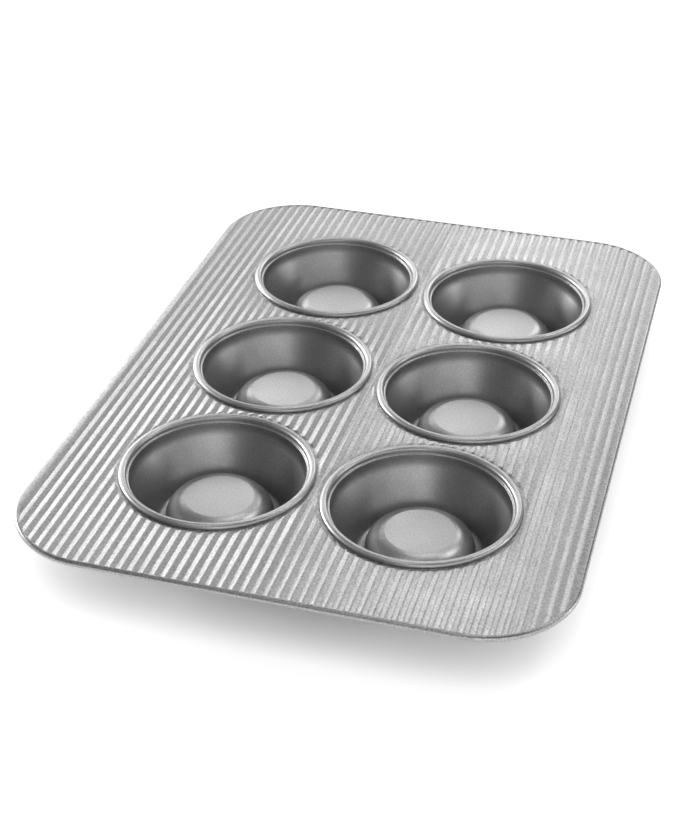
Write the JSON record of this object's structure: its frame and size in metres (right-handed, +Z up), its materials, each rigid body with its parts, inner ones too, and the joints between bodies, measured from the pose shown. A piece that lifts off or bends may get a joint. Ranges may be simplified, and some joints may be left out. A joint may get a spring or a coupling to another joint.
{
  "type": "brownie bowl pan",
  "caption": "Ribbed steel baking pan with round cups, each with a domed floor that bakes a hollow into a brownie bowl.",
  "frame": {"origin": "middle of the pan, on the surface that the cups' flat feet stand on", "axes": "+X to the right across the pan's width, +Y from the front end to the back end along its length, +Z up out of the cups"},
  "size_m": [0.2824, 0.3998, 0.0346],
  "materials": {
    "deck_sheet": "pale aluminised steel, fine matte grain",
    "cup_sheet": "drawn aluminised steel, satin",
    "wire": "plain drawn steel wire"
  },
  "bodies": {
    "root": {"deck": "deck_sheet", "cup_front_left": "cup_sheet", "cup_front_right": "cup_sheet", "cup_middle_left": "cup_sheet", "cup_middle_right": "cup_sheet", "cup_back_left": "cup_sheet", "cup_back_right": "cup_sheet", "rim_wire": "wire"}
  },
  "joints": []
}
